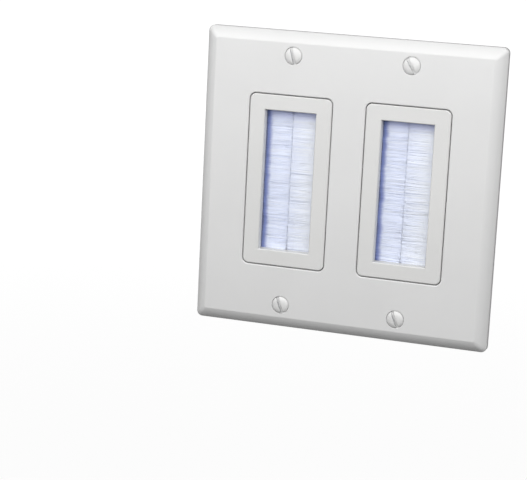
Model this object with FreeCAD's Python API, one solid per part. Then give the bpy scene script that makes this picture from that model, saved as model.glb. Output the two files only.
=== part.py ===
import FreeCAD, Part
import math
import os

# The wall lies in the plane y = 0, the face of the plate looks towards -Y and +Z is up.
# All lengths are in millimetres and all angles in degrees.

# Wall plate for two gangs
plate_side = 35.38           # plate past the middle of an insert
plate_end = 9.18             # plate past the centre of a plate screw
plate_depth = 5.6            # from the wall to the face
plate_wall = 2.0
plate_edge = 2.4             # straight outer edge that meets the wall
bevel_width = 4.3            # sloping border, as seen from the front
bevel_crown = 0.45           # how far the border bulges out of straight
plate_corner_radius = 2.2
gang_pitch = 46.04
joint_line = 0.36            # gap between an insert and its opening
opening_chamfer = 0.25       # softened front edge of an opening
rib_thickness = 1.2
rib_gap = 0.2                # space between the ribs and the straps below them
rib_rows = 3                 # cross ribs on each side of an opening
screw_boss_radius = 4.75

# Oval head machine screws that hold the plate, number 6 size
plate_screw_step = 6.75      # from a box screw to the plate screw past it
shank_radius = 1.75
shank_clearance = 0.2        # around the shank, in the plate
thread_fit = 0.05            # around the shank, in the strap
head_radius = 3.3
head_dome = 0.95             # height of the head over its rim
head_sink = 0.1              # rim of the head below the face of the plate
head_land = 0.35             # straight edge of the head, between the dome and the cone
head_margin = 0.12           # straight mouth of the hole past the head
head_seat = 0.03             # between the cone of the head and the countersink
countersink_angle = 82.0
screw_length = 7.94          # from the face of the plate to the tip
driver_slot_width = 1.2
driver_slot_depth = 1.25
driver_slot_turn = {"upper_left": 17, "upper_right": 32, "lower_left": 22, "lower_right": 24}

# Moulded insert frame, one to each gang
rail_width = 6.1             # face on both sides of the window
rail_height = 5.9            # face above and below the window
insert_corner_radius = 2.2
insert_chamfer = 0.3         # softened outer edge of the face
window_width = 20.4
window_height = 54.4
window_chamfer = 0.25        # softened front edge of the window
face_thickness = 3.1
lip_overhang = 1.2           # edge of the window past the wall that stands behind it, along the brushes
rail_wall = 1.6              # walls on both sides of the hollow behind the face
strap_thickness = 2.4
strap_end = 4.0              # strap past the centre of a plate screw
strap_ledge = 1.2            # strap past the side of the housing
strap_corner_radius = 3.0
box_screw_step = 8.57        # from the end of the face to the centre of a box screw
box_slot_width = 4.0
box_slot_length = 9.0
housing_wall = 2.0
housing_corner_radius = 2.5

# Strip brushes, one along each side of a window
brush_recess = 4.1           # from the face of the plate to the channel
brush_setback = 0.3          # channel mouth behind the wall beside it
brush_fit = 0.15             # between a channel and the pocket that holds it
brush_overlap = 1.6          # brush past the end of the window
channel_thickness = 3.8
channel_depth = 5.2
channel_sheet = 0.45
channel_bend = 0.9           # outer radius of the folded corners
channel_lip = 1.2            # part of each leg that is pinched on to the bristles
channel_pinch = 0.25
core_wire_radius = 0.7
core_wire_fit = 0.03         # between the wire and the bristles folded around it
bristle_fit = 0.05           # between the bristles and the sheet
bristle_thickness = 3.6
bristle_flare = 3.5          # length over which the bristles open out
bristle_seam = 0.2           # gap where the tips of the two rows meet
ridge_pitch = 1.6            # bristles lie together in ridges about this wide
ridge_depth = 0.3
ridge_notch = 0.5            # how unevenly the tips end
ridge_swing = 0.3            # how unevenly the ridges are spaced
ridge_rhythm = 2.4

# Retainer that closes the back of an insert, held by snap arms in the hollow behind the face
retainer_thickness = 1.8
retainer_window_margin = 0.3
lip_wall = 1.2
lip_height = 1.6
arm_width = 4.0
arm_thickness = 1.1
arm_spacing = 16.0           # between the two arms at one end
catch_setback = 1.2          # from the back of the housing to the catch
catch_thickness = 1.4
catch_height = 0.7           # how far the catch stands into the hollow
barb_length = 1.6
snap_fit = 0.1               # between an arm and its catch

hair = 1e-4                  # lengths closer than this are the same
centre = FreeCAD.Vector(0, 0, 0)
across = FreeCAD.Vector(1, 0, 0)
inwards = FreeCAD.Vector(0, 1, 0)
upwards = FreeCAD.Vector(0, 0, 1)

# Sizes and places that several pieces share
insert_width = window_width + 2 * rail_width
insert_height = window_height + 2 * rail_height
brush_gap = window_width + 2 * lip_overhang
brush_length = window_height + 2 * brush_overlap
box_screw_spacing = insert_height + 2 * box_screw_step
plate_screw_spacing = box_screw_spacing + 2 * plate_screw_step
plate_width = gang_pitch + 2 * plate_side
plate_height = plate_screw_spacing + 2 * plate_end
head_rim = head_sink - plate_depth
head_shoulder = head_rim + head_land
hollow_front = -(plate_depth - plate_wall)
hollow_floor = -(plate_depth - face_thickness)
strap_front = -strap_thickness
channel_front = -(plate_depth - brush_recess)
brush_middle = channel_front + channel_thickness / 2
housing_back = channel_front + channel_thickness + brush_fit
retainer_back = housing_back + retainer_thickness
channel_mouth = brush_gap / 2 + brush_setback
channel_back = channel_mouth + channel_depth
pocket_half_width = channel_back + brush_fit
pocket_half_height = brush_length / 2 + brush_fit
hollow_half_height = insert_height / 2 - rail_wall
housing_half_width = pocket_half_width + housing_wall
housing_half_height = hollow_half_height + housing_wall
catch_back = housing_back - catch_setback
catch_front = catch_back - catch_thickness
arm_top = hollow_half_height - catch_height - snap_fit
strap_width = 2 * (housing_half_width + strap_ledge)
strap_height = plate_screw_spacing + 2 * strap_end
opening_width = insert_width + 2 * joint_line
opening_height = insert_height + 2 * joint_line
opening_corner_radius = insert_corner_radius + joint_line
countersink_slope = math.tan(math.radians(countersink_angle / 2))
gangs = {"left": -gang_pitch / 2, "right": gang_pitch / 2}
corners = {"upper_left": (-1, 1), "upper_right": (1, 1), "lower_left": (-1, -1), "lower_right": (1, -1)}


def slab(width, height, front, back, radius=0):
    """Upright slab centred on the Y axis, its four long corners rounded."""
    block = Part.makeBox(width, back - front, height, FreeCAD.Vector(-width / 2, front, -height / 2))
    if radius == 0:
        return block
    long_corners = [edge for edge in block.Edges if abs(edge.tangentAt(edge.FirstParameter).y) > 0.5]
    return block.makeFillet(radius, long_corners)


def softened(shape, chamfer, width, height):
    """The shape with the edges of its face chamfered that lie in the given middle part of the face."""
    edges = []
    for edge in shape.Edges:
        box = edge.BoundBox
        in_face = box.YMax < hair - plate_depth
        in_width = max(box.XMax, -box.XMin) < width / 2 + hair
        in_height = max(box.ZMax, -box.ZMin) < height / 2 + hair
        if in_face and in_width and in_height:
            edges.append(edge)
    return shape.makeChamfer(chamfer, edges)


def disc(radius, front, back, x=0, z=0):
    """Round bar along Y."""
    return Part.makeCylinder(radius, back - front, FreeCAD.Vector(x, front, z), inwards)


def turned(outline):
    """Solid turned about the Y axis from points given as radius and depth."""
    points = [FreeCAD.Vector(radius, depth, 0) for radius, depth in outline]
    half = Part.Face(Part.makePolygon(points + points[:1]))
    return half.revolve(centre, inwards, 360)


def moved(shape, x=0, z=0):
    """Copy of the shape, shifted along the wall."""
    copy = shape.copy()
    copy.translate(FreeCAD.Vector(x, 0, z))
    return copy


def bevelled_bar(span, length, depth, edge, bevel):
    """Upright bar whose section across X has a straight edge, a crowned bevel and a flat face."""
    half = span / 2
    slope = math.atan2(depth - edge, bevel)
    bulge_x = bevel_crown * math.sin(slope)
    bulge_y = bevel_crown * math.cos(slope)
    sides = []
    for side in (1, -1):
        rim = FreeCAD.Vector(side * half, -edge, 0)
        middle = FreeCAD.Vector(side * (half - bevel / 2 + bulge_x), -(edge + depth) / 2 - bulge_y, 0)
        brow = FreeCAD.Vector(side * (half - bevel), -depth, 0)
        sides.append((FreeCAD.Vector(side * half, 0, 0), rim, middle, brow))
    (right_foot, right_rim, right_middle, right_brow), (left_foot, left_rim, left_middle, left_brow) = sides
    section = Part.Wire([
        Part.makeLine(left_foot, right_foot),
        Part.makeLine(right_foot, right_rim),
        Part.Arc(right_rim, right_middle, right_brow).toShape(),
        Part.makeLine(right_brow, left_brow),
        Part.Arc(left_brow, left_middle, left_rim).toShape(),
        Part.makeLine(left_rim, left_foot),
    ])
    bar = Part.Face(section).extrude(upwards * length)
    bar.translate(upwards * (-length / 2))
    return bar


def bevelled_block(width, height, depth, edge, bevel):
    """Plate bevelled on all four sides, with mitred corners."""
    upright = bevelled_bar(width, height, depth, edge, bevel)
    level = bevelled_bar(height, width, depth, edge, bevel)
    level.rotate(centre, inwards, 90)
    return upright.common(level)


def corner_edges(block):
    """Edges that run down the four corners of a bevelled block, from its face to the wall."""
    edges = []
    for edge in block.Edges:
        box = edge.BoundBox
        spread = max(box.XLength, box.ZLength)
        if box.YLength > hair and spread < bevel_width + hair:
            edges.append(edge)
    return edges


def plate_hollow():
    """Space behind the face of the plate, one wall thickness inside its surface."""
    slope = math.atan2(plate_depth - plate_edge, bevel_width)
    edge = plate_edge - plate_wall * math.tan((math.pi / 2 - slope) / 2)
    bevel = bevel_width - plate_wall + plate_wall * math.tan(slope / 2)
    width = plate_width - 2 * plate_wall
    height = plate_height - 2 * plate_wall
    return bevelled_block(width, height, plate_depth - plate_wall, edge, bevel)


def plate_ribs():
    """Stiffening ribs on the back of the face: one round each opening and a grid between them."""
    back = strap_front - rib_gap
    ring_width = opening_width + 2 * rib_thickness
    ring_height = opening_height + 2 * rib_thickness
    ribs = []
    for x in gangs.values():
        ribs.append(moved(slab(ring_width, ring_height, hollow_front, back), x))
    for row in range(rib_rows):
        z = (row + 1) * ring_height / (rib_rows + 1) - ring_height / 2
        ribs.append(moved(slab(plate_width - plate_wall, rib_thickness, hollow_front, back), 0, z))
    ribs.append(slab(rib_thickness, plate_height - plate_wall, hollow_front, back))
    return ribs


def make_wall_plate():
    """Moulded cover with two openings, four countersunk holes and a hollow, ribbed back."""
    plate = bevelled_block(plate_width, plate_height, plate_depth, plate_edge, bevel_width)
    plate = plate.makeFillet(plate_corner_radius, corner_edges(plate))
    plate = plate.cut(plate_hollow())
    boss = disc(screw_boss_radius, hollow_front, strap_front)
    plate = plate.fuse(plate_ribs() + at_plate_screws(boss))
    opening = slab(opening_width, opening_height, -plate_depth, 0, opening_corner_radius)
    plate = plate.cut([moved(opening, x) for x in gangs.values()])
    plate = softened(plate.removeSplitter(), opening_chamfer, gang_pitch + opening_width, opening_height)
    return plate.cut(at_plate_screws(plate_screw_hole()))


def at_plate_screws(shape):
    """Copies of the shape at all plate screws."""
    copies = []
    for side, level in corners.values():
        copies.append(moved(shape, side * gang_pitch / 2, level * plate_screw_spacing / 2))
    return copies


def plate_screw_hole():
    """Clearance hole with a countersink and a straight mouth that opens in the face of the plate."""
    hole_radius = shank_radius + shank_clearance
    mouth_radius = head_radius + head_margin
    step = head_shoulder - (head_margin - head_seat) / countersink_slope
    throat = step + (mouth_radius - hole_radius) / countersink_slope
    return turned([(0, -plate_depth), (mouth_radius, -plate_depth), (mouth_radius, step),
                   (hole_radius, throat), (hole_radius, 0), (0, 0)])


def make_plate_screw(turn):
    """Slotted oval head screw; its slot leans to the left by the given turn from upright."""
    top = head_rim - head_dome
    neck = head_shoulder + (head_radius - shank_radius) / countersink_slope
    tip = screw_length - plate_depth
    body = turned([(0, head_rim), (head_radius, head_rim), (head_radius, head_shoulder), (shank_radius, neck),
                   (shank_radius, tip), (0, tip)])
    dome_radius = (head_radius ** 2 + head_dome ** 2) / (2 * head_dome)
    ball = Part.makeSphere(dome_radius, FreeCAD.Vector(0, top + dome_radius, 0))
    dome = ball.common(disc(head_radius, top, head_rim))
    slot = slab(driver_slot_width, 2 * head_radius, top, top + driver_slot_depth)
    slot.rotate(centre, inwards, -turn)
    return body.fuse(dome).removeSplitter().cut(slot)


def make_insert_frame():
    """Moulded frame: flush face with a window, mounting strap and a housing for the brushes."""
    face = slab(insert_width, insert_height, -plate_depth, strap_front, insert_corner_radius)
    face = softened(face, insert_chamfer, insert_width, insert_height)
    strap = slab(strap_width, strap_height, strap_front, 0, strap_corner_radius)
    housing = slab(2 * housing_half_width, 2 * housing_half_height, 0, housing_back, housing_corner_radius)
    pocket = slab(2 * pocket_half_width, 2 * pocket_half_height, channel_front, housing_back)
    window = slab(window_width, window_height, -plate_depth, housing_back)
    behind_lip = slab(brush_gap, window_height, hollow_floor, housing_back)
    frame = face.fuse([strap, housing]).cut([face_hollow(), pocket, window, behind_lip])
    frame = softened(frame.removeSplitter(), window_chamfer, window_width, window_height)
    return frame.fuse(catches()).cut(strap_holes())


def face_hollow():
    """Hollow behind the rails of the face, open to the back, with a wall on each side."""
    outer = slab(insert_width - 2 * rail_wall, 2 * hollow_half_height, hollow_floor, housing_back)
    inner = slab(brush_gap + 2 * rail_wall, window_height + 2 * rail_wall, hollow_floor, housing_back)
    return outer.cut(inner)


def catches():
    """Ledges at the top and the bottom of the hollow that the retainer snaps under."""
    ledge = slab(arm_spacing + arm_width + 2 * catch_thickness, catch_height, catch_front, catch_back)
    height = hollow_half_height - catch_height / 2
    return [moved(ledge, 0, height), moved(ledge, 0, -height)]


def strap_holes():
    """Level slots for the box screws and threaded holes for the plate screws."""
    cutters = []
    for side in (1, -1):
        cutters.append(moved(rounded_slot(box_slot_length, box_slot_width), 0, side * box_screw_spacing / 2))
        cutters.append(disc(shank_radius + thread_fit, strap_front, 0, 0, side * plate_screw_spacing / 2))
    return cutters


def rounded_slot(length, width):
    """Level slot through the strap with half-round ends."""
    straight = length - width
    bar = slab(straight, width, strap_front, 0)
    ends = [disc(width / 2, strap_front, 0, side * straight / 2) for side in (1, -1)]
    return bar.fuse(ends).removeSplitter()


def channel_solid(inset):
    """Filled section of the right-hand channel, shrunk on all sides by the inset."""
    half = channel_thickness / 2 - inset
    back = channel_back - inset
    knee = channel_mouth + channel_lip
    outline = [(channel_mouth, channel_pinch - half), (knee, -half), (back, -half),
               (back, half), (knee, half), (channel_mouth, half - channel_pinch)]
    points = [FreeCAD.Vector(x, brush_middle + y, -brush_length / 2) for x, y in outline]
    bar = Part.Face(Part.makePolygon(points + points[:1])).extrude(upwards * brush_length)
    folds = [edge for edge in bar.Edges
             if edge.BoundBox.XMin > back - hair and edge.BoundBox.ZLength > brush_length / 2]
    return bar.makeFillet(channel_bend - inset, folds)


def make_channel():
    """Steel strip folded into a channel, its legs pinched at the mouth."""
    return channel_solid(0).cut(channel_solid(channel_sheet))


def root_radius():
    """Radius of the bristles folded round the core wire."""
    return channel_thickness / 2 - channel_sheet - bristle_fit


def core_wire_x():
    """Where the core wire lies in the right-hand channel."""
    return channel_back - channel_sheet - bristle_fit - root_radius()


def make_core_wire():
    """Steel wire that the bristles are folded around."""
    start = FreeCAD.Vector(core_wire_x(), brush_middle, -brush_length / 2)
    return Part.makeCylinder(core_wire_radius, brush_length, start, upwards)


def ridge_valleys():
    """Heights of the valleys between the ridges, a little unevenly spaced."""
    count = round(brush_length / ridge_pitch)
    shares = [1 + ridge_swing * math.sin(ridge_rhythm * ridge) for ridge in range(count)]
    heights = [-brush_length / 2]
    for share in shares:
        heights.append(heights[-1] + share * brush_length / sum(shares))
    return heights


def bristle_section():
    """Bristles seen from above: folded round the wire, held at the mouth and opened out to the tips."""
    root = root_radius()
    wire_x = core_wire_x()
    tip = bristle_seam / 2
    knee = channel_mouth + channel_lip
    held = root - channel_pinch
    half = bristle_thickness / 2
    front = [(wire_x, -root), (knee, -root), (channel_mouth, -held), (channel_mouth - bristle_flare, -half),
             (tip, -half)]
    outline = front + [(x, -y) for x, y in reversed(front)]
    points = [FreeCAD.Vector(x, brush_middle + y, -brush_length / 2) for x, y in outline]
    edges = [Part.makeLine(start, end) for start, end in zip(points, points[1:])]
    turn = FreeCAD.Vector(wire_x + root, brush_middle, -brush_length / 2)
    edges.append(Part.Arc(points[-1], turn, points[0]).toShape())
    return Part.Face(Part.Wire(edges)).extrude(upwards * brush_length)


def ridged_bar():
    """Bar along X from the channel mouth to the tips, ridged front and back."""
    valleys = ridge_valleys()
    crest = bristle_thickness / 2
    front = []
    for low, high in zip(valleys, valleys[1:]):
        front.append((ridge_depth - crest, low))
        front.append((-crest, (low + high) / 2))
    front.append((ridge_depth - crest, valleys[-1]))
    outline = front + [(-y, z) for y, z in reversed(front)]
    points = [FreeCAD.Vector(channel_mouth, brush_middle + y, z) for y, z in outline]
    return Part.Face(Part.makePolygon(points + points[:1])).extrude(across * -channel_mouth)


def notched_tips():
    """Plate in front view from the channel mouth to the tips, each ridge ending in a point."""
    valleys = ridge_valleys()
    tip = bristle_seam / 2
    outline = [(channel_mouth, valleys[0])]
    for low, high in zip(valleys, valleys[1:]):
        outline.append((tip + ridge_notch, low))
        outline.append((tip, (low + high) / 2))
    outline.append((tip + ridge_notch, valleys[-1]))
    outline.append((channel_mouth, valleys[-1]))
    points = [FreeCAD.Vector(x, brush_middle - bristle_thickness, z) for x, z in outline]
    return Part.Face(Part.makePolygon(points + points[:1])).extrude(inwards * 2 * bristle_thickness)


def make_bristles():
    """Row of bristles of the right-hand brush, folded round its core wire."""
    row = bristle_section()
    root = Part.makeBox(channel_depth, channel_thickness, brush_length,
                        FreeCAD.Vector(channel_mouth, channel_front, -brush_length / 2))
    fan = ridged_bar().common(notched_tips())
    row = row.common(fan.fuse(root))
    start = FreeCAD.Vector(core_wire_x(), brush_middle, -brush_length / 2)
    wire_hole = Part.makeCylinder(core_wire_radius + core_wire_fit, brush_length, start, upwards)
    return row.cut(wire_hole)


def snap_arm():
    """Arm that reaches forward from the retainer and ends in a barb under the upper catch."""
    root = housing_back + retainer_thickness / 2
    seat = catch_front - snap_fit
    tip = seat - barb_length
    outline = [(root, arm_top), (seat, arm_top), (seat, arm_top + catch_height), (tip, arm_top),
               (tip, arm_top - arm_thickness), (root, arm_top - arm_thickness)]
    points = [FreeCAD.Vector(-arm_width / 2, y, z) for y, z in outline]
    return Part.Face(Part.makePolygon(points + points[:1])).extrude(across * arm_width)


def make_retainer():
    """Moulded frame that closes the back, with a raised lip round its window and four snap arms."""
    width = window_width + 2 * retainer_window_margin
    height = window_height + 2 * retainer_window_margin
    lip_back = retainer_back + lip_height
    plate = slab(2 * housing_half_width, 2 * housing_half_height, housing_back, retainer_back,
                 housing_corner_radius)
    lip = slab(width + 2 * lip_wall, height + 2 * lip_wall, retainer_back, lip_back)
    arms = []
    for side in (1, -1):
        upper = moved(snap_arm(), side * arm_spacing / 2)
        lower = upper.copy()
        lower.rotate(centre, inwards, 180)
        arms += [upper, lower]
    return plate.fuse([lip] + arms).cut(slab(width, height, housing_back, lip_back))


def make_insert():
    """Every piece of one insert, centred on the Y axis."""
    pieces = {"insert_frame": make_insert_frame(), "retainer": make_retainer()}
    right_brush = {"channel": make_channel(), "core_wire": make_core_wire(), "bristles": make_bristles()}
    for name, shape in right_brush.items():
        pieces["right_brush_" + name] = shape
        pieces["left_brush_" + name] = shape.mirror(centre, across)
    return pieces


def make_all():
    """Every piece of the grommet by its name."""
    pieces = {"wall_plate": make_wall_plate()}
    for name, (side, level) in corners.items():
        screw = make_plate_screw(driver_slot_turn[name])
        pieces["plate_screw_" + name] = moved(screw, side * gang_pitch / 2, level * plate_screw_spacing / 2)
    insert = make_insert()
    for gang, x in gangs.items():
        for name, shape in insert.items():
            pieces[gang + "_" + name] = moved(shape, x)
    return pieces


os.makedirs("parts", exist_ok=True)
for name, shape in make_all().items():
    shape.exportStep("parts/" + name + ".step")
    print(name, "valid" if shape.isValid() else "not valid", len(shape.Solids), round(shape.Volume, 2))
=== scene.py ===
import math
import bpy
import numpy as np
from mathutils import Matrix, Vector


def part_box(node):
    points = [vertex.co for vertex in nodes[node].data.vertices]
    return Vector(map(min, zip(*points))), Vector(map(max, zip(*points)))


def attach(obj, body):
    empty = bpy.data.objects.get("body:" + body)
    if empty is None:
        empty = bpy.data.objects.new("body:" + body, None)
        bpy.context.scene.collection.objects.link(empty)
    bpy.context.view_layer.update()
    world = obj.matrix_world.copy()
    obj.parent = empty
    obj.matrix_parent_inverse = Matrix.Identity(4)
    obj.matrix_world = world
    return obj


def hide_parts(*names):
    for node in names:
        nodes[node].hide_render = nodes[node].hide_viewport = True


# The wall lies in the plane y = 0, the face of the plate looks towards -Y and +Z is up. All lengths
# are in metres. The pieces follow in the order in which the grommet is put together.
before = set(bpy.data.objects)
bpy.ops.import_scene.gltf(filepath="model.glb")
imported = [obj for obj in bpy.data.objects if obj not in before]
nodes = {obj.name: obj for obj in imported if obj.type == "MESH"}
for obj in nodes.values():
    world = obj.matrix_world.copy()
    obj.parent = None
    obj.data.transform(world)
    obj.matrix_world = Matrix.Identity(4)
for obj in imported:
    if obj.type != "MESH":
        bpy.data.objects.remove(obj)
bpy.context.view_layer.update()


# Core wires: a drawn steel wire runs through each brush from end to end. The bristles are folded
# round it, so that none can be pulled out of the channel.
inserts = ("left", "right")
brushes = [insert + "_" + side + "_brush" for insert in inserts for side in ("left", "right")]


class Shade:
    """A socket in the node tree of a finish. Sums on it become Math nodes."""

    def __init__(self, tree, socket=None):
        self.tree = tree
        self.socket = socket

    def node(self, kind, settings=None, inputs=None, output=0):
        """Adds a node, with its settings first and then the values or links of its sockets."""
        made = self.tree.nodes.new(kind)
        for name, value in (settings or {}).items():
            setattr(made, name, value)
        for name, value in (inputs or {}).items():
            if isinstance(value, Shade):
                self.tree.links.new(value.socket, made.inputs[name])
            else:
                made.inputs[name].default_value = value
        return Shade(self.tree, made.outputs[output] if made.outputs else None)

    def maths(self, operation, first, second=0.0):
        """One Math node on two values."""
        return self.node("ShaderNodeMath", {"operation": operation}, {0: first, 1: second})

    def __add__(self, other):
        return self.maths("ADD", self, other)

    def __sub__(self, other):
        return self.maths("SUBTRACT", self, other)

    def __rsub__(self, other):
        return self.maths("SUBTRACT", other, self)

    def __mul__(self, other):
        return self.maths("MULTIPLY", self, other)

    __radd__ = __add__
    __rmul__ = __mul__

    def between(self, low, high):
        """0 where the value is at or below low, 1 where it is at or above high, smooth in between."""
        inputs = {"Value": self, "From Min": low, "From Max": high}
        return self.node("ShaderNodeMapRange", {"interpolation_type": "SMOOTHSTEP"}, inputs)

    def colour(self, first, second):
        """The first colour where the value is 0 and the second where it is 1."""
        first, second = [end if isinstance(end, Shade) else (*end, 1) for end in (first, second)]
        # A Mix node takes its two colours in sockets 6 and 7 and gives its colour at output 2.
        inputs = {0: self, 6: first, 7: second}
        return self.node("ShaderNodeMix", {"data_type": "RGBA"}, inputs, 2)

    def place(self, scale):
        """Places on the object, stretched by one factor for each axis."""
        seen = self.node("ShaderNodeTexCoord", output="Object")
        return self.node("ShaderNodeMapping", inputs={"Vector": seen, "Scale": scale})

    def grain(self, scale, detail=2.0):
        """Noise with about that many grains to a metre along each axis."""
        inputs = {"Vector": self.place(scale), "Scale": 1.0, "Detail": detail}
        return self.node("ShaderNodeTexNoise", inputs=inputs)

    def raised(self, height, distance, under=None):
        """Surface that stands up by the height, over an already softened one."""
        inputs = {"Height": height, "Distance": distance, "Strength": 1.0}
        if under:
            inputs["Normal"] = under
        return self.node("ShaderNodeBump", inputs=inputs)

    def rounded(self, radius):
        """Surface whose sharp edges catch the light as if they had that radius."""
        return self.node("ShaderNodeBevel", {"samples": 6}, {"Radius": radius})


def new_finish(name):
    """An empty material and the shade from which its nodes are added."""
    material = bpy.data.materials.new(name)
    material.use_nodes = True
    material.node_tree.nodes.clear()
    return material, Shade(material.node_tree)


def close_finish(shade, **sockets):
    """Ends a finish in one surface shader, whose sockets are named in small letters."""
    inputs = {}
    for name, value in sockets.items():
        inputs[name.replace("_", " ").title().replace("Ior", "IOR")] = value
    surface = shade.node("ShaderNodeBsdfPrincipled", inputs=inputs)
    shade.node("ShaderNodeOutputMaterial", inputs={"Surface": surface})


def dress(names, material):
    """Gives nodes of the frame their finish."""
    for name in names:
        for slot in nodes[name].material_slots:
            slot.material = material


dull_steel = (0.42, 0.42, 0.43)
bright_steel = (0.62, 0.62, 0.61)
steel_roughness = 0.22           # of the bare metal, and what the lines of the die add to it
die_roughness = 0.25
die_height = 0.00001
die_grain = (9000, 9000, 40)
drawn_steel, shade = new_finish("drawn_steel")
draw_lines = shade.grain(die_grain, detail=3.0)
close_finish(
    shade,
    base_color=draw_lines.colour(dull_steel, bright_steel),
    metallic=1.0,
    roughness=draw_lines * die_roughness + steel_roughness,
    normal=shade.raised(draw_lines, die_height),
)
dress([brush + "_core_wire" for brush in brushes], drawn_steel)


# Bristles: each brush is a row of 1,750 nylon filaments, folded round the core wire so that both
# ends point out of the channel. They are soft, lie together in uneven tufts, and their trimmed
# tips meet those of the other row near the middle of the window.
filaments = 1750
filament_radius = 0.000105
tip_radius = 0.00007
thickness_spread = 0.15          # share by which a filament may be thicker or thinner
twist_spread = 0.16              # how unevenly the filaments are turned, in radians
crowding = 0.22                  # the smaller, the more of them lie near the two faces of the row
height_spread = 0.00006
tuft_pitch = 0.0012
tuft_depth = 0.00012             # how far the row falls back between two tufts
tuft_drift = 0.35                # how far the tufts wander, in tufts
tuft_waves = 900                 # and how often, in radians to a metre
lean_spread = 0.00016            # how far the tips of single filaments stand up or down
lean_sway = 0.00022              # and those of whole tufts
sway_waves = 700
stray_share = 0.02               # share of the tips that have come loose from their tuft
stray_spread = 0.0007
bow_spread = 0.00004
trim_spread = 0.00008            # how unevenly the tips are cut
core_reach = 0.0009              # the inner filaments are longer and close the seam
seam = 0.00018                   # half of the gap between the tips of the two rows
seams = {"left": 0.0, "right": -0.0005}  # where the tips meet, from the middle of each window
seam_opening = 0.0004            # how much further the tips stand back at both ends of a row
opening_start = 0.0235           # from the middle of its height
opening_length = 0.004
fold_inner = 0.00079             # radius of the innermost filament round the wire
fold_outer = 0.00130
mouth_half = 0.00106             # half of the row's thickness between the lips of the channel
mouth_core = 0.00005             # and half of what is left free in its middle
tip_half = 0.00170               # the same at the tips
tip_core = 0.00004
bend_place = 0.36                # first bend, as a share of the way from the tip to the channel
bend_lean = 0.72                 # share of its lean that a filament has there
root_place = 0.74                # second bend, from the middle of the window to the channel
root_lean = 0.3
root_bow = 0.7
tip_bow = 0.3
mouth_lean = 0.05
root_shadow_starts = {"left": 0.0077, "right": 0.0092}  # where the painted shadow beside the window's side wall begins, from the same middle
shadow_edge_tufts = 26                 # places along a row between which that edge wanders
shadow_edge_wander = 0.00018           # how far it wanders from tuft to tuft
shadow_edge_spread = 0.00012           # and from filament to filament
shadow_full = 0.0022              # how far behind the edge the painted shadow is full
shadow_deepest = 0.0029               # and how far behind it the painted shadow is deepest
right_painted_light = 0.35           # painted light: the right-hand rows are made lighter than the left-hand ones
root_painted_light = 1.3             # and painted lighter from their tips to their roots
even_place = 0.35                # with no change at this share of the way to the channel


def lines(steps):
    """Points for all filaments at once, from their places at each step."""
    return np.stack([np.stack(np.broadcast_arrays(*step), 1) for step in steps], 1)


def filament_paths(rng, wire, mouth, shift, low, high):
    """Centre lines for a right-hand brush, measured from the middle of its window and its wire."""
    rank = rng.permutation(np.linspace(0, 1, filaments))
    layer = rank ** crowding
    height = np.linspace(low, high, filaments) + rng.normal(0, height_spread, filaments)
    drift = tuft_drift * np.sin(height * tuft_waves)
    tuft = 0.5 - 0.5 * np.cos(2 * math.pi * (height / tuft_pitch + drift))
    opening = seam_opening * np.clip((np.abs(height) - opening_start) / opening_length, 0, 1)
    fold = fold_inner + layer * (fold_outer - fold_inner)
    half_mouth = layer * mouth_half + mouth_core
    half_tip = layer * (tip_half - tuft_depth * (1 - tuft)) + tip_core
    paths = []
    for end in (-1, 1):
        sway = lean_sway * np.sin(height * sway_waves + 2 * end + layer)
        lean = rng.normal(0, lean_spread, filaments) + sway
        loose = rng.random(filaments) < stray_share
        stray = np.where(loose, rng.normal(0, stray_spread, filaments), 0)
        reach = seam + shift + opening + tuft_depth * (1 - tuft) - core_reach * (1 - rank) ** 2
        reach += rng.normal(0, trim_spread, filaments)
        bow = rng.normal(0, bow_spread, filaments)
        bend = mouth * bend_place + reach * (1 - bend_place)
        half_root = (half_tip + half_mouth) / 2
        steps = (
            (reach, half_tip + bow * tip_bow, height + lean + stray),
            (bend, half_tip + bow, height + bend_lean * (lean + stray)),
            (mouth * root_place, half_root + bow * root_bow, height + root_lean * (lean + stray)),
            (mouth, half_mouth, height + mouth_lean * lean),
            (wire, fold, height),
        )
        paths.append(lines([(x, end * y, z) for x, y, z in steps]))
    front, back = paths
    angles = (-math.pi / 4, 0, math.pi / 4)
    turn = lines([(wire + fold * math.cos(angle), fold * math.sin(angle), height) for angle in angles])
    return np.concatenate([front, turn, back[:, ::-1]], 1)


def filament_mesh(name, paths, side, rng):
    """Three-sided tubes along the paths, one side of each outwards."""
    count, steps = paths.shape[:2]
    forward = np.gradient(paths, axis=1)
    forward /= np.linalg.norm(forward, axis=2, keepdims=True)
    upright = np.broadcast_to(np.array([0.0, 0.0, 1.0]), forward.shape)
    outward = np.cross(forward, upright)
    outward /= np.linalg.norm(outward, axis=2, keepdims=True)
    radius = np.full(steps, filament_radius)
    radius[[0, -1]] = tip_radius
    thickness = radius * rng.uniform(1 - thickness_spread, 1 + thickness_spread, (count, 1))
    start = rng.normal(math.pi / 3, twist_spread, count) + (side < 0) * math.pi
    corners = []
    for corner in range(3):
        angle = (start + corner * 2 * math.pi / 3)[:, None, None]
        offset = np.cos(angle) * outward + np.sin(angle) * upright
        corners.append(paths + thickness[:, :, None] * offset)
    points = np.stack(corners, 2).reshape(-1, 3)
    index = np.arange(count * steps * 3).reshape(count, steps, 3)
    here, there = index[:, :-1], index[:, 1:]
    sides = np.stack([here, np.roll(here, -1, 2), np.roll(there, -1, 2), there], 3).reshape(-1, 4)
    ends = np.concatenate([index[:, 0, ::-1], index[:, -1]])
    mesh = bpy.data.meshes.new(name)
    mesh.from_pydata(points.tolist(), [], sides.tolist() + ends.tolist())
    return mesh


def mark(mesh, name, values):
    """Gives the three corners of a filament at each step a value that the finish reads."""
    marks = mesh.attributes.new(name, "FLOAT", "POINT")
    marks.data.foreach_set("value", np.repeat(values, 3).astype(np.float32))


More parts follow.
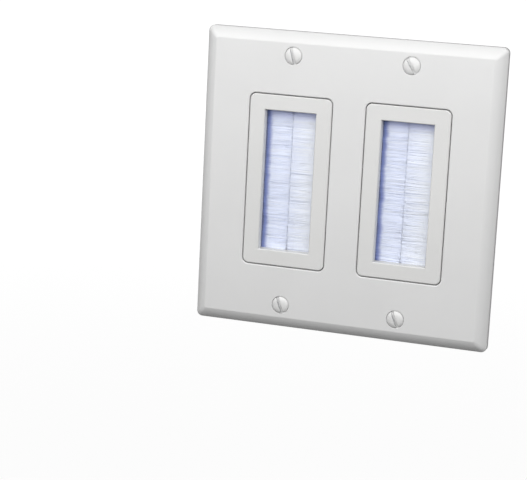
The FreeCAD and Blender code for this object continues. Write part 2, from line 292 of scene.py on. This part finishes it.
def make_bristles(brush, seed):
    """The row of one brush, in place of its solid."""
    rng = np.random.default_rng(seed)
    insert, hand = brush.split("_")[:2]
    wire_low, wire_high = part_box(brush + "_core_wire")
    channel_low, channel_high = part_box(brush + "_channel")
    window_low, window_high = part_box(brush.split("_")[0] + "_insert_frame")
    middle = (window_low.x + window_high.x) / 2
    wire_x = (wire_low.x + wire_high.x) / 2
    side = math.copysign(1, wire_x - middle)
    mouth = min(abs(channel_low.x - middle), abs(channel_high.x - middle))
    low = wire_low.z + 2 * filament_radius
    high = wire_high.z - 2 * filament_radius
    paths = filament_paths(rng, abs(wire_x - middle), mouth, side * seams[insert], low, high)
    paths[:, :, 0] = middle + side * paths[:, :, 0]
    paths[:, :, 1] += (wire_low.y + wire_high.y) / 2
    paths[:, :, 2] = np.clip(paths[:, :, 2], low, high)
    mesh = filament_mesh(brush + "_filaments", paths, side, rng)

    from_middle = np.abs(paths[:, :, 0] - middle)
    # Random tone of each filament, plus painted light: the right-hand rows are made lighter, more so
    # towards their roots.
    tone_and_painted_light = rng.random((filaments, 1)) + side * right_painted_light
    if hand == "right":
        tone_and_painted_light = tone_and_painted_light + root_painted_light * (from_middle / mouth - even_place)
    mark(mesh, "tone_and_painted_light", np.broadcast_to(tone_and_painted_light, from_middle.shape))
    # Painted shadow: past this edge, which wanders from tuft to tuft, the finish darkens the rows as if
    # shaded by the window's side wall.
    stops = np.linspace(wire_low.z, wire_high.z, shadow_edge_tufts)
    past_shadow_edge = from_middle - root_shadow_starts[hand]
    past_shadow_edge += np.interp(paths[:, :, 2], stops, rng.normal(0, shadow_edge_wander, shadow_edge_tufts))
    past_shadow_edge += rng.normal(0, shadow_edge_spread, (filaments, 1))
    mark(mesh, "root", past_shadow_edge)

    row = bpy.data.objects.new(brush + "_filaments", mesh)
    bpy.context.scene.collection.objects.link(row)
    return row


blue_nylon = (0.73, 0.785, 1.0)
white_nylon = (0.92, 0.94, 1.0)
shaded_nylon = (0.57, 0.62, 1.0)  # painted shadow on the top ends of the rows, under the lip of the window
# Painted shadow: indigo, then deeper indigo, for the rows near their channels, where the window's side
# walls shade them.
root_shadow_nylon = (0.13, 0.19, 0.60)
deepest_shadow_nylon = (0.07, 0.09, 0.30)
shaded_from = 0.0225             # where the painted shadow under the lip starts, as height above the middle of the row
shaded_to = 0.0275
band_share = 0.45                # of the change in colour that whole tufts make, not single filaments
band_grain = (25, 60, 900)
relief = (0.2, 0.2, 0.2)         # share of its own slope with which a facet takes the light
nylon, shade = new_finish("nylon_filament")
tone_and_painted_light = shade.node("ShaderNodeAttribute", {"attribute_name": "tone_and_painted_light"}, output="Fac")
past_shadow_edge = shade.node("ShaderNodeAttribute", {"attribute_name": "root"}, output="Fac")
# Painted shadow: past the shadow edge the rows turn indigo, then deeper indigo.
root = past_shadow_edge.between(0, shadow_full)
deepest_shadow_mask = past_shadow_edge.between(shadow_full, shadow_deepest)
seen = shade.node("ShaderNodeTexCoord", output="Object")
upright = shade.node("ShaderNodeSeparateXYZ", inputs={"Vector": seen}, output="Z")
# Painted shadow: the top ends of the rows turn bluer and darker under the window's upper lip.
lip_shadow_mask = upright.between(shaded_from, shaded_to)
bands = shade.grain(band_grain)
lit = (tone_and_painted_light * (1 - band_share) + bands * band_share).colour(blue_nylon, white_nylon)
facet = shade.node("ShaderNodeNewGeometry", output="Normal")
facing = shade.node("ShaderNodeSeparateXYZ", inputs={"Vector": facet}, output="Y")
flat = shade.node("ShaderNodeCombineXYZ", inputs={"Y": facing.maths("SIGN", facing)})
soft = shade.node("ShaderNodeVectorMath", {"operation": "MULTIPLY_ADD"}, {0: facet, 1: relief, 2: flat})
close_finish(
    shade,
    base_color=root.colour(lip_shadow_mask.colour(lit, shaded_nylon), deepest_shadow_mask.colour(root_shadow_nylon, deepest_shadow_nylon)),
    roughness=0.4,
    sheen_weight=1.0,
    sheen_roughness=0.8,
    sheen_tint=(0.85, 0.92, 1.0, 1.0),
    normal=shade.node("ShaderNodeVectorMath", {"operation": "NORMALIZE"}, {0: soft}),
)
for seed, brush in enumerate(brushes):
    row = make_bristles(brush, seed)
    row.data.materials.append(nylon)
    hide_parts(brush + "_bristles")
    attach(row, "root")


# Channels: a strip of zinc plated steel is folded round the roots of the bristles and its legs are
# pinched on to them. The channel slides into a pocket of the insert frame.
dull_zinc = (0.50, 0.51, 0.53)
bright_zinc = (0.68, 0.68, 0.69)
spangles = 700.0                 # to a metre
spangle_roughness = 0.12         # what the spangles and the lines of the rolls add
roll_roughness = 0.16
roll_height = 0.000012
roll_grain = (6000, 6000, 30)
strip_edge = 0.0001              # radius of the strip's edges
zinc_plate, shade = new_finish("zinc_plate")
inputs = {"Vector": shade.place((1, 1, 1)), "Scale": spangles}
spangle = shade.node("ShaderNodeTexVoronoi", inputs=inputs, output="Color")
flake = shade.node("ShaderNodeSeparateColor", inputs={"Color": spangle})
roll_lines = shade.grain(roll_grain, detail=3.0)
close_finish(
    shade,
    base_color=flake.colour(dull_zinc, bright_zinc),
    metallic=1.0,
    roughness=flake * spangle_roughness + roll_lines * roll_roughness + steel_roughness,
    normal=shade.raised(roll_lines, roll_height, under=shade.rounded(strip_edge)),
)
dress([brush + "_channel" for brush in brushes], zinc_plate)


# Insert frames: one moulding in light grey white plastic to each gang. Its face lies flush with
# the plate, its strap is screwed to the wall box, and its housing holds the two brushes.
cloud_grain = 45                 # flow clouds to a metre
cloud_span = (0.3, 0.7)          # from the dark to the light of a cloud
cloud_roughness = 0.06
skin_grain = 2600                # and grains of the mould's texture
skin_roughness = 0.08


def moulded(name, light, dark, roughness, texture, edge):
    """Moulded plastic: a fine mould texture, faint flow clouds and softly broken edges."""
    material, shade = new_finish(name)
    clouds = shade.grain((cloud_grain, cloud_grain, cloud_grain), detail=3.0)
    skin = shade.grain((skin_grain, skin_grain, skin_grain))
    close_finish(
        shade,
        base_color=clouds.between(*cloud_span).colour(dark, light),
        roughness=clouds * cloud_roughness + skin * skin_roughness + roughness,
        specular_ior_level=0.45,
        normal=shade.raised(skin, texture, under=shade.rounded(edge)),
    )
    return material


insert_plastic = moulded(
    "insert_plastic",
    light=(0.660, 0.660, 0.653),
    dark=(0.647, 0.647, 0.640),
    roughness=0.36,
    texture=0.000006,
    edge=0.0003,
)
dress([insert + "_insert_frame" for insert in inserts], insert_plastic)


# Retainers: a flat moulding closes the back of each insert frame and keeps the brushes in their
# pockets. Its four arms snap behind catches in the frame, and its lip stiffens the window.
retainer_plastic = moulded(
    "retainer_plastic",
    light=(0.62, 0.62, 0.605),
    dark=(0.605, 0.605, 0.59),
    roughness=0.5,
    texture=0.00001,
    edge=0.0002,
)
dress([insert + "_retainer" for insert in inserts], retainer_plastic)


# Wall plate: the cover over both gangs, moulded in one piece with a crowned bevel all round, a
# polished face and a hollow, ribbed back.
plate_plastic = moulded(
    "plate_plastic",
    light=(0.678, 0.678, 0.676),
    dark=(0.665, 0.665, 0.663),
    roughness=0.30,
    texture=0.000004,
    edge=0.0005,
)
dress(["wall_plate"], plate_plastic)


# Plate screws: four number 6 machine screws of zinc plated steel with oval heads, the heads painted
# to match the plate. They pass through the plate and turn into the threads of the straps.
slot_turns = {"upper_left": 17, "upper_right": 32, "lower_left": 22, "lower_right": 24}  # degrees
head_radius = 0.0033
head_dome = 0.00095
dome_steps = 14
dome_start = 0.06                # share of a quarter turn at which the first ring stands
dome_fullness = 3.2              # powers that give the dome its flat middle and full shoulder
dome_shoulder = 0.8
head_land = 0.00035              # straight edge between the dome and the cone
cone_slope = 41                  # of the countersunk side, in degrees from the axis
shank_radius = 0.00172
neck_length = 0.0002
thread_pitch = 0.000794
thread_depth = 0.00042
thread_steps = 8                 # rings to one turn of the thread
thread_run_in = 2                # turns in which it grows to its full depth
flank_gain = 1.25                # steepness of its flanks, and the flat at its root
root_flat = 0.12
point_length = 0.0006
point_taper = 0.0004
point_cut = 0.0003
slot_width = 0.0012
slot_depth = 0.00125
slot_overrun = 1.2               # half length of the cutter against the radius of the head
cutter_rise = 0.001              # how far it stands above the head
wall_margin = 0.00002            # how far outside the slot a face still counts as a wall of it
wall_slope = 0.3                 # and how far it may slope
broken_edge = 0.00006
broken_angle = 40                # edges sharper than this are broken
smooth_angle = 35                # and those that are still sharper than this are shaded as edges
turn_steps = 64


def lathe(name, rings):
    """Mesh turned about the Y axis from rings, each a radius or a function for it, with its depth."""
    angles = np.linspace(0, 2 * math.pi, turn_steps, endpoint=False)
    points = []
    for radii, depth in rings:
        radius = radii(angles) if callable(radii) else np.full(turn_steps, radii)
        depths = np.full(turn_steps, depth)
        points += np.stack([radius * np.cos(angles), depths, radius * np.sin(angles)], 1).tolist()
    faces = []
    for ring in range(len(rings) - 1):
        for step in range(turn_steps):
            after = (step + 1) % turn_steps
            first, second = ring * turn_steps, (ring + 1) * turn_steps
            faces.append((first + step, first + after, second + after, second + step))
    faces.append(tuple(reversed(range(turn_steps))))
    faces.append(tuple(range((len(rings) - 1) * turn_steps, len(rings) * turn_steps)))
    mesh = bpy.data.meshes.new(name)
    mesh.from_pydata(points, [], faces)
    return mesh


def thread_ring(depth, run_in, taper):
    """Radii round the shank at one depth: a single V-shaped thread."""
    def radii(angles):
        phase = (depth / thread_pitch - angles / (2 * math.pi)) % 1
        crest = np.clip(np.abs(2 * phase - 1) * flank_gain - root_flat, 0, 1)
        return shank_radius - taper - run_in * thread_depth * (1 - crest)
    return radii


def screw_rings(length, rim):
    """Dome, rim, countersunk side, threaded shank and pointed end of a screw."""
    rings = []
    for share in np.linspace(dome_start, 1, dome_steps):
        reach = math.sin(share * math.pi / 2)
        rise = head_dome * (1 - reach ** dome_fullness) ** dome_shoulder
        rings.append((head_radius * reach, rim - rise))
    rings.append((head_radius, rim + head_land))
    neck = rim + head_land + (head_radius - shank_radius) / math.tan(math.radians(cone_slope))
    rings.append((shank_radius, neck))
    depth = neck + neck_length
    end = rim + length
    while depth < end:
        run_in = min(1, (depth - neck) / (thread_run_in * thread_pitch))
        taper = max(0, (depth - (end - point_length)) / point_length) * point_taper
        rings.append((thread_ring(depth, run_in, taper), depth))
        depth += thread_pitch / thread_steps
    rings.append((shank_radius - thread_depth - point_cut, end))
    return rings


def in_slot(place, normal, top):
    """1 on the walls of the upright slot, 0 elsewhere on the screw."""
    inside = abs(place.x) < slot_width / 2 + wall_margin and place.y < top + slot_depth
    return float(inside and abs(normal.y) < wall_slope)


def slot_cutter(top, turn):
    """A bar as wide as the slot, across the head at the angle of the slot."""
    sides = ((0, 1, 3, 2), (4, 6, 7, 5), (0, 4, 5, 1), (2, 3, 7, 6), (0, 2, 6, 4), (1, 5, 7, 3))
    turned = Matrix.Rotation(math.radians(-turn), 4, "Y")
    corners = []
    for x in (-slot_width / 2, slot_width / 2):
        for y in (top - cutter_rise, top + slot_depth):
            for z in (-head_radius * slot_overrun, head_radius * slot_overrun):
                corners.append(turned @ Vector((x, y, z)))
    mesh = bpy.data.meshes.new("driver_slot")
    mesh.from_pydata(corners, [], sides)
    return bpy.data.objects.new("driver_slot", mesh)


def make_screw(corner, turn):
    """One screw in place of its solid, with the slot cut and its edges broken."""
    low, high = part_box("plate_screw_" + corner)
    rim = low.y + head_dome
    screw = bpy.data.objects.new("screw_" + corner, lathe("screw", screw_rings(high.y - rim, rim)))
    cutter = slot_cutter(low.y, turn)
    for piece in (screw, cutter):
        bpy.context.scene.collection.objects.link(piece)
    cut = screw.modifiers.new("slot", "BOOLEAN")
    cut.object = cutter
    cut.solver = "EXACT"
    broken = screw.modifiers.new("edges", "BEVEL")
    broken.width = broken_edge
    broken.segments = 2
    broken.limit_method = "ANGLE"
    broken.angle_limit = math.radians(broken_angle)
    depsgraph = bpy.context.evaluated_depsgraph_get()
    finished = bpy.data.meshes.new_from_object(screw.evaluated_get(depsgraph))
    screw.modifiers.clear()
    screw.data = finished
    bpy.data.objects.remove(cutter)

    upright = Matrix.Rotation(math.radians(turn), 3, "Y")
    walls = [in_slot(upright @ face.center, face.normal, low.y) for face in finished.polygons]
    worn = finished.attributes.new("worn", "FLOAT", "FACE")
    worn.data.foreach_set("value", walls)
    finished.transform(Matrix.Translation(((low.x + high.x) / 2, 0, (low.z + high.z) / 2)))
    finished.shade_smooth()
    finished.set_sharp_from_angle(angle=math.radians(smooth_angle))
    return screw


paint_full = -0.0044             # place in y up to which the paint is whole
paint_end = -0.0041              # and at which it ends
paint_wander = 0.0006
slot_wear = 0.6                  # share of the paint that is rubbed off the walls of the slot
enamel_roughness = 0.34
ragged_roughness = 0.08
ragged_height = 0.000012
ragged_grain = (900, 900, 900)
grey_enamel = (0.665, 0.665, 0.66)
white_enamel = (0.69, 0.69, 0.685)
dull_plating = (0.52, 0.53, 0.55)
bright_plating = (0.66, 0.66, 0.67)
painted_screw, shade = new_finish("painted_screw")
seen = shade.node("ShaderNodeTexCoord", output="Object")
depth = shade.node("ShaderNodeSeparateXYZ", inputs={"Vector": seen}, output="Y")
ragged = shade.grain(ragged_grain, detail=3.0)
worn = shade.node("ShaderNodeAttribute", {"attribute_name": "worn"}, output="Fac")
unpainted = (depth + ragged * paint_wander).between(paint_full, paint_end)
bare = 1 - (1 - unpainted) * (1 - worn * slot_wear)
enamel = ragged.colour(grey_enamel, white_enamel)
plating = ragged.colour(dull_plating, bright_plating)
close_finish(
    shade,
    base_color=bare.colour(enamel, plating),
    metallic=bare,
    roughness=enamel_roughness + ragged * ragged_roughness,
    normal=shade.raised(ragged, ragged_height),
)
for corner, turn in slot_turns.items():
    screw = make_screw(corner, turn)
    screw.data.materials.clear()
    screw.data.materials.append(painted_screw)
    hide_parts("plate_screw_" + corner)
    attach(screw, "root")


# Studio: a plain pale floor well below the plate, a white room that is dimmer behind it, a large
# soft lamp above and in front, a low one behind that lights the ribbed back, and a camera that
# stands to the right of the plate and looks a little down.
floor_height = -0.35
floor_half = 12.0
near_glow = 0.86                 # how light the floor looks below the plate
far_glow = 1.0
glow_start = 0.5
glow_end = 3.0
floor_tone = (0.25, 0.25, 0.25, 1)
floor_mesh = bpy.data.meshes.new("floor")
quarters = ((-1, -1), (1, -1), (1, 1), (-1, 1))
floor_corners = [(x * floor_half, y * floor_half, floor_height) for x, y in quarters]
floor_mesh.from_pydata(floor_corners, [], [(0, 1, 2, 3)])
floor = bpy.data.objects.new("floor", floor_mesh)
bpy.context.scene.collection.objects.link(floor)
pale_floor, shade = new_finish("pale_floor")
rays = shade.node("ShaderNodeLightPath", output="Is Camera Ray")
seen = shade.node("ShaderNodeTexCoord", output="Object")
away = shade.node("ShaderNodeVectorMath", {"operation": "LENGTH"}, {0: seen}, "Value")
glow = away.between(glow_start, glow_end) * (far_glow - near_glow) + near_glow
lit = shade.node("ShaderNodeEmission", inputs={"Color": rays * glow})
matt = shade.node("ShaderNodeBsdfDiffuse", inputs={"Color": floor_tone})
both = shade.node("ShaderNodeAddShader", inputs={0: lit, 1: matt})
shade.node("ShaderNodeOutputMaterial", inputs={"Surface": both})
floor_mesh.materials.append(pale_floor)

front_light = 0.635
back_light = 0.145
side_light = 0.31                # added at the far right
gloss_light = 0.3                # added in what a glossy surface mirrors
corner_loss = 0.13               # taken away behind and above, where the plate's upper wall mirrors it
back_span = (-0.5, 0.5)          # directions, as parts of a unit vector, over which each one fades in
side_span = (0.4, 1.0)
corner_behind = (0.0, 0.5)
corner_above = (-0.1, 0.2)
room = bpy.data.worlds.new("room")
bpy.context.scene.world = room
room.use_nodes = True
room.node_tree.nodes.clear()
shade = Shade(room.node_tree)
camera_ray = shade.node("ShaderNodeLightPath", output="Is Camera Ray")
glossy_ray = shade.node("ShaderNodeLightPath", output="Is Glossy Ray")
seen = shade.node("ShaderNodeTexCoord", output="Generated")
aside = shade.node("ShaderNodeSeparateXYZ", inputs={"Vector": seen}, output="X")
behind = shade.node("ShaderNodeSeparateXYZ", inputs={"Vector": seen}, output="Y")
above = shade.node("ShaderNodeSeparateXYZ", inputs={"Vector": seen}, output="Z")
dim_corner = behind.between(*corner_behind) * above.between(*corner_above)
room_level = front_light - behind.between(*back_span) * (front_light - back_light)
room_level = room_level + aside.between(*side_span) * side_light - dim_corner * corner_loss
gloss_level = glossy_ray * gloss_light * (1 - dim_corner)
seen_level = camera_ray * (1 - room_level) + (1 - camera_ray) * gloss_level + room_level
room_light = shade.node("ShaderNodeBackground", inputs={"Color": (1, 1, 1, 1), "Strength": seen_level})
shade.node("ShaderNodeOutputWorld", inputs={"Surface": room_light})


def hang_lamp(name, width, height, energy, place):
    """A soft lamp, turned towards the middle of the plate."""
    lamp = bpy.data.lights.new(name, "AREA")
    lamp.shape = "RECTANGLE"
    lamp.size = width
    lamp.size_y = height
    lamp.energy = energy
    holder = bpy.data.objects.new(name, lamp)
    bpy.context.scene.collection.objects.link(holder)
    holder.location = place
    holder.rotation_mode = "QUATERNION"
    holder.rotation_quaternion = (-holder.location).to_track_quat("-Z", "Y")


lamp_slope = math.radians(34)
lamp_distance = 0.30
lamp_place = (0.01, -lamp_distance * math.cos(lamp_slope), lamp_distance * math.sin(lamp_slope))
hang_lamp("soft_lamp", width=0.90, height=0.28, energy=1.63, place=lamp_place)
# The lamp behind reaches no higher than the plate, so that the plate's upper wall gets none of it.
hang_lamp("back_lamp", width=0.3, height=0.1, energy=3.4, place=(-0.11, 0.6, 0.0))

azimuth = math.radians(18.09)
elevation = math.radians(11.67)
roll = math.radians(2.89)
camera_distance = 0.69687
camera_right = -0.03246
camera_up = -0.02057
across = math.cos(elevation)
towards_camera = Vector((math.sin(azimuth) * across, -math.cos(azimuth) * across, math.sin(elevation)))
level_right = (-towards_camera).cross(Vector((0, 0, 1))).normalized()
level_up = towards_camera.cross(level_right)
right = math.cos(roll) * level_right + math.sin(roll) * level_up
up = math.cos(roll) * level_up - math.sin(roll) * level_right
camera_data = bpy.data.cameras.new("camera")
camera_data.lens = 124.557
camera_data.sensor_width = 36
camera_data.clip_start = 0.01
camera = bpy.data.objects.new("camera", camera_data)
bpy.context.scene.collection.objects.link(camera)
stand = Matrix((right, up, towards_camera)).transposed().to_4x4()
stand.translation = towards_camera * camera_distance + right * camera_right + up * camera_up
camera.matrix_world = stand
bpy.context.scene.camera = camera
bpy.context.scene.view_settings.view_transform = "Standard"
